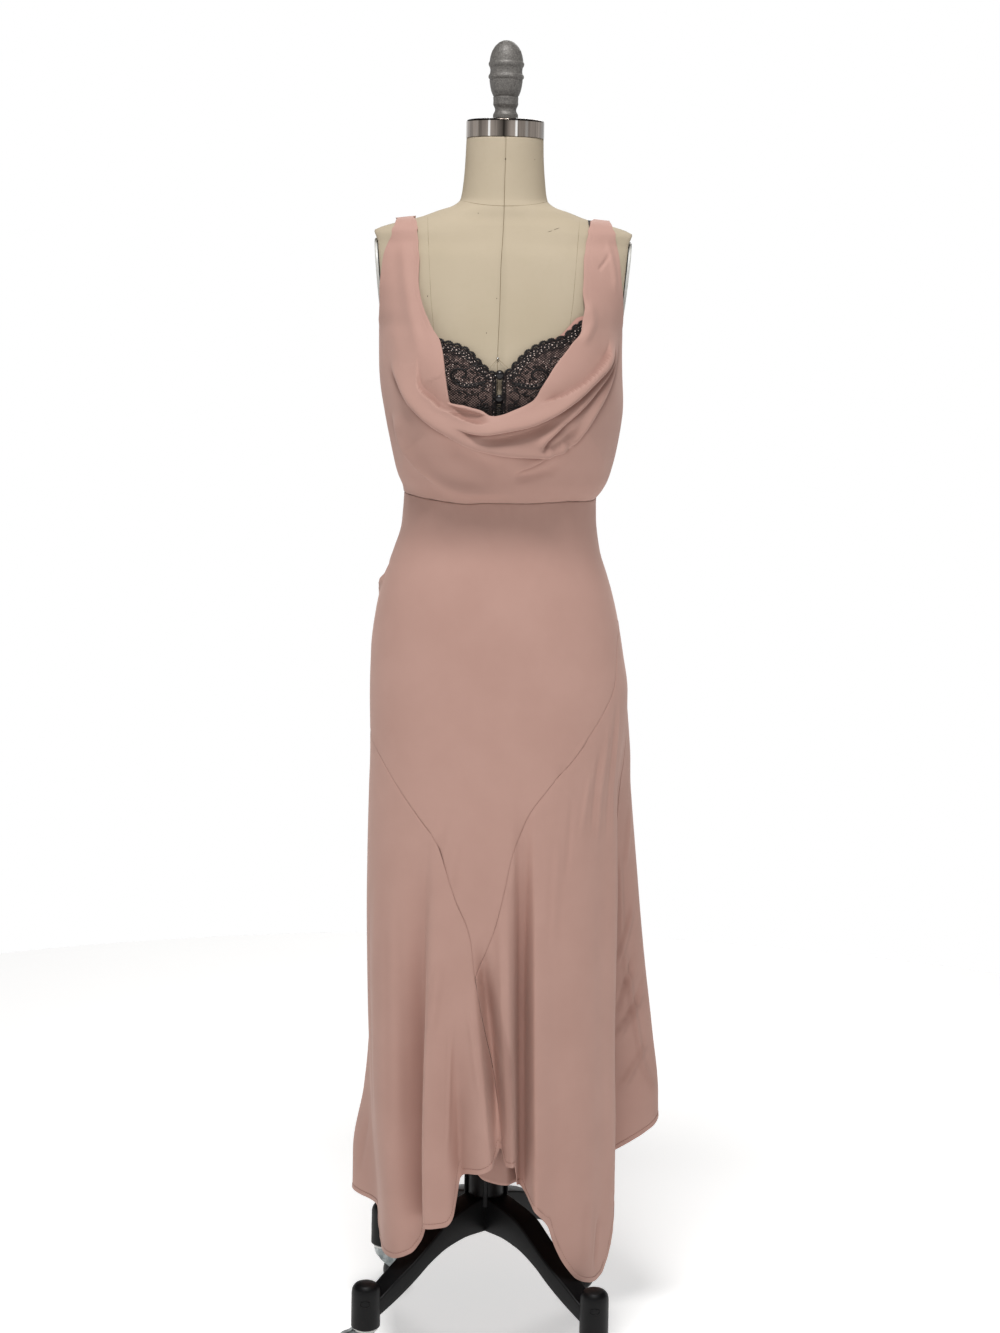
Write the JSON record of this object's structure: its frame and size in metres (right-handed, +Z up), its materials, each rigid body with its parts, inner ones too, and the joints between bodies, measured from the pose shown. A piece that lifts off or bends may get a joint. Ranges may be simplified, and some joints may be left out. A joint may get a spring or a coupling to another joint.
{
  "type": "slip dress on a dress form with stand",
  "caption": "Sleeveless cowl-neck slip dress in rose crepe with a black lace under-bodice and pointed hem, on a limbless dress form with a castored base.",
  "frame": {"origin": "on the floor, at the middle of the whole object's outline seen from above", "axes": "+Z up along the column, -Y the way the front of the dress faces, +X towards the viewer's right when facing the front"},
  "size_m": [0.4662, 0.3824, 1.8547],
  "materials": {
    "rose_crepe": "matte dusty-rose crepe with a faint sheen",
    "rose_lining": "matte dusty-rose lining",
    "black_lace": "black corded lace on fine net",
    "covered_button": "black satin over a small button",
    "cream_linen": "unbleached linen canvas stretched over the form",
    "chrome_band": "polished band and plate",
    "hammered_grey": "grey hammered enamel",
    "plate_grey": "satin grey",
    "black_casting": "black enamel on cast iron",
    "pole_steel": "plated tube",
    "fork_zinc": "zinc-plated pressed sheet",
    "wheel_black": "hard black tread"
  },
  "bodies": {
    "base": {"base": "black_casting", "column": "black_casting"},
    "dressed_form": {"form_torso": "cream_linen", "neck_cap": "chrome_band", "finial": "hammered_grey", "arm_plate_left": "plate_grey", "arm_plate_right": "plate_grey", "bodice_front": "rose_crepe", "bodice_back": "rose_crepe", "skirt_front_centre": "rose_crepe", "skirt_front_left": "rose_crepe", "skirt_front_right": "rose_crepe", "skirt_back": "rose_crepe", "lining_left": "rose_lining", "lining_right": "rose_lining", "lace_left": "black_lace", "lace_right": "black_lace", "lace_strap_left": "black_lace", "lace_strap_right": "black_lace", "button_upper": "covered_button", "button_lower": "covered_button", "pole": "pole_steel"},
    "caster_front_left": {"fork_front_left": "fork_zinc"},
    "wheel_front_left": {"wheel_front_left": "wheel_black"},
    "caster_front_right": {"fork_front_right": "fork_zinc"},
    "wheel_front_right": {"wheel_front_right": "wheel_black"},
    "caster_back_right": {"fork_back_right": "fork_zinc"},
    "wheel_back_right": {"wheel_back_right": "wheel_black"},
    "caster_back_left": {"fork_back_left": "fork_zinc"},
    "wheel_back_left": {"wheel_back_left": "wheel_black"}
  },
  "joints": [
    {"name": "form_height", "type": "slide", "parent": "base", "child": "dressed_form", "axis": [0, 0, 1], "range_m": [0, 0.15]},
    {"name": "swivel_front_left", "type": "hinge", "parent": "base", "child": "caster_front_left", "pos_m": [-0.17802, -0.15481, 0.069], "axis": [0, 0, 1], "continuous": true},
    {"name": "roll_front_left", "type": "hinge", "parent": "caster_front_left", "child": "wheel_front_left", "pos_m": [-0.202, -0.15565, 0.025], "axis": [0.0349, -0.9994, 0], "continuous": true},
    {"name": "swivel_front_right", "type": "hinge", "parent": "base", "child": "caster_front_right", "pos_m": [0.14281, -0.16602, 0.069], "axis": [0, 0, 1], "continuous": true},
    {"name": "roll_front_right", "type": "hinge", "parent": "caster_front_right", "child": "wheel_front_right", "pos_m": [0.12106, -0.17616, 0.025], "axis": [0.4226, -0.9063, 0], "continuous": true},
    {"name": "swivel_back_right", "type": "hinge", "parent": "base", "child": "caster_back_right", "pos_m": [0.15402, 0.15481, 0.069], "axis": [0, 0, 1], "continuous": true},
    {"name": "roll_back_right", "type": "hinge", "parent": "caster_back_right", "child": "wheel_back_right", "pos_m": [0.13146, 0.16302, 0.025], "axis": [-0.342, -0.9397, 0], "continuous": true},
    {"name": "swivel_back_left", "type": "hinge", "parent": "base", "child": "caster_back_left", "pos_m": [-0.16681, 0.16602, 0.069], "axis": [0, 0, 1], "continuous": true},
    {"name": "roll_back_left", "type": "hinge", "parent": "caster_back_left", "child": "wheel_back_left", "pos_m": [-0.14426, 0.17423, 0.025], "axis": [-0.342, 0.9397, 0], "continuous": true}
  ]
}
